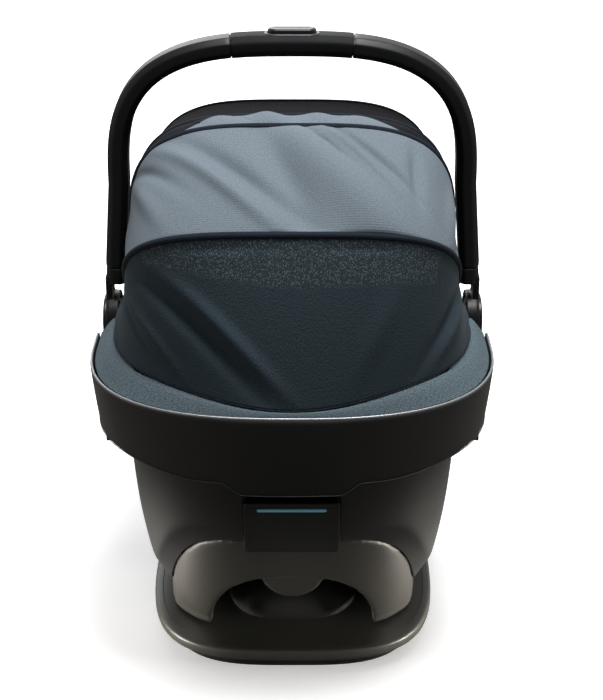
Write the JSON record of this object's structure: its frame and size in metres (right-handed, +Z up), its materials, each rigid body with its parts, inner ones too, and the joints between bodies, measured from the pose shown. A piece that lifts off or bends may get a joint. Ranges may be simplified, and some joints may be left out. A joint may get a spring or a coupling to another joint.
{
  "type": "infant car seat",
  "caption": "Rear-facing infant carrier seat with a swinging handle, folding canopy, wing band, harness and release lever, standing on a low dock.",
  "frame": {"origin": "on the floor under the middle of the dock, at the underside of its centre foot", "axes": "+Z up, -Y towards the head end, +Y towards the foot end, X across the seat"},
  "size_m": [0.4352, 0.6516, 0.671],
  "materials": {
    "dock_plastic": "moulded, fine texture",
    "rubber": "moulded",
    "steel": "drawn",
    "shell_plastic": "moulded, fine texture",
    "inner_plastic": "moulded",
    "satin_trim": "satin",
    "pad_fabric": "woven melange",
    "foam": "moulded bead foam",
    "accent_blue": "satin",
    "handle_plastic": "satin",
    "grip_rubber": "soft touch",
    "button_plastic": "satin",
    "bow_plastic": "moulded",
    "canopy_light": "woven melange",
    "canopy_dark": "woven",
    "webbing": "woven webbing",
    "buckle_red": "satin",
    "lever_grey": "satin"
  },
  "bodies": {
    "dock": {"dock_tray": "dock_plastic", "dock_plinth": "dock_plastic", "dock_feet": "rubber", "dock_pedestal": "dock_plastic", "dock_bars": "steel"},
    "lever": {"lever_panel": "shell_plastic", "lever_stripe": "accent_blue"},
    "handle": {"handle_arch": "handle_plastic", "handle_leg_l": "handle_plastic", "handle_leg_r": "handle_plastic", "handle_grip": "grip_rubber", "button_bezel": "satin_trim", "button_spring": "steel", "hub_cap_l": "handle_plastic", "hub_cap_r": "handle_plastic"},
    "button": {"grip_button": "button_plastic"},
    "rear_bow": {"rear_bow": "bow_plastic"},
    "mid_bow": {"mid_bow": "bow_plastic", "mid_panel": "canopy_light"},
    "front_bow": {"front_bow": "bow_plastic", "front_panel": "canopy_light", "visor": "canopy_dark"},
    "headrest": {"headrest_board": "shell_plastic", "headrest_pad": "pad_fabric"},
    "buckle_button": {"buckle_button": "buckle_red"},
    "adjuster": {"adjuster_lever": "lever_grey"},
    "seat": {"lower_shell": "shell_plastic", "rocker_base": "shell_plastic", "rail_pads": "rubber", "latch_jaws": "steel", "wing_band": "shell_plastic", "band_trim": "satin_trim", "wing_pad": "pad_fabric", "rim_cover": "pad_fabric", "foam_tub": "foam", "seat_pad": "pad_fabric", "hub_bracket_l": "inner_plastic", "hub_bracket_r": "inner_plastic", "hub_pins": "steel", "lock_discs": "steel", "lock_springs": "steel", "belt_guide_l": "shell_plastic", "belt_guide_r": "shell_plastic", "adapter_socket_l": "shell_plastic", "adapter_socket_r": "shell_plastic", "lever_housing": "inner_plastic", "lever_pin": "steel", "lever_spring": "steel", "rear_panel": "canopy_dark", "crotch_strap": "webbing", "buckle_body": "inner_plastic", "buckle_tongues": "steel", "shoulder_straps": "webbing", "shoulder_pads": "pad_fabric", "lap_straps": "webbing", "adjuster_housing": "shell_plastic", "adjuster_strap": "webbing"}
  },
  "joints": [
    {"name": "seat_lift", "type": "slide", "parent": "dock", "child": "seat", "axis": [0, 0, 1], "range_m": [0, 0.12]},
    {"name": "handle_swing", "type": "hinge", "parent": "seat", "child": "handle", "pos_m": [0, 0.015, 0.335], "axis": [1, 0, 0], "range_deg": [-60, 45]},
    {"name": "grip_press", "type": "slide", "parent": "handle", "child": "button", "axis": [0, 0, -1], "range_m": [0, 0.003], "stiffness_N_per_m": 600, "springref_m": -0.002, "deforming": ["button_spring"]},
    {"name": "canopy_fold", "type": "hinge", "parent": "seat", "child": "rear_bow", "pos_m": [0, 0.015, 0.335], "axis": [1, 0, 0], "range_deg": [0, 12], "deforming": ["rear_panel"]},
    {"name": "mid_fold", "type": "hinge", "parent": "rear_bow", "child": "mid_bow", "pos_m": [0, 0.015, 0.335], "axis": [1, 0, 0], "range_deg": [0, 22], "deforming": ["mid_panel"]},
    {"name": "visor_extend", "type": "hinge", "parent": "mid_bow", "child": "front_bow", "pos_m": [0, 0.015, 0.335], "axis": [1, 0, 0], "range_deg": [-55, 3], "deforming": ["front_panel"]},
    {"name": "lever_pull", "type": "hinge", "parent": "seat", "child": "lever", "pos_m": [0, -0.21844, 0.18354], "axis": [1, 0, 0], "range_deg": [0, 14], "stiffness_Nm_per_rad": 2, "springref_deg": -5.73, "deforming": ["lever_spring"]},
    {"name": "headrest_height", "type": "slide", "parent": "seat", "child": "headrest", "axis": [0, -0.7338, 0.6794], "range_m": [0, 0.05]},
    {"name": "buckle_press", "type": "slide", "parent": "seat", "child": "buckle_button", "axis": [0, -0.4226, -0.9063], "range_m": [0, 0.002], "stiffness_N_per_m": 600, "springref_m": -0.001},
    {"name": "adjuster_press", "type": "hinge", "parent": "seat", "child": "adjuster", "pos_m": [0, 0.26089, 0.26311], "axis": [1, 0, 0], "range_deg": [0, 14], "stiffness_Nm_per_rad": 0.5, "springref_deg": -5.73}
  ],
  "couplings": [
    {"joint": "mid_fold", "follows": "canopy_fold", "ratio": 1.8333}
  ]
}
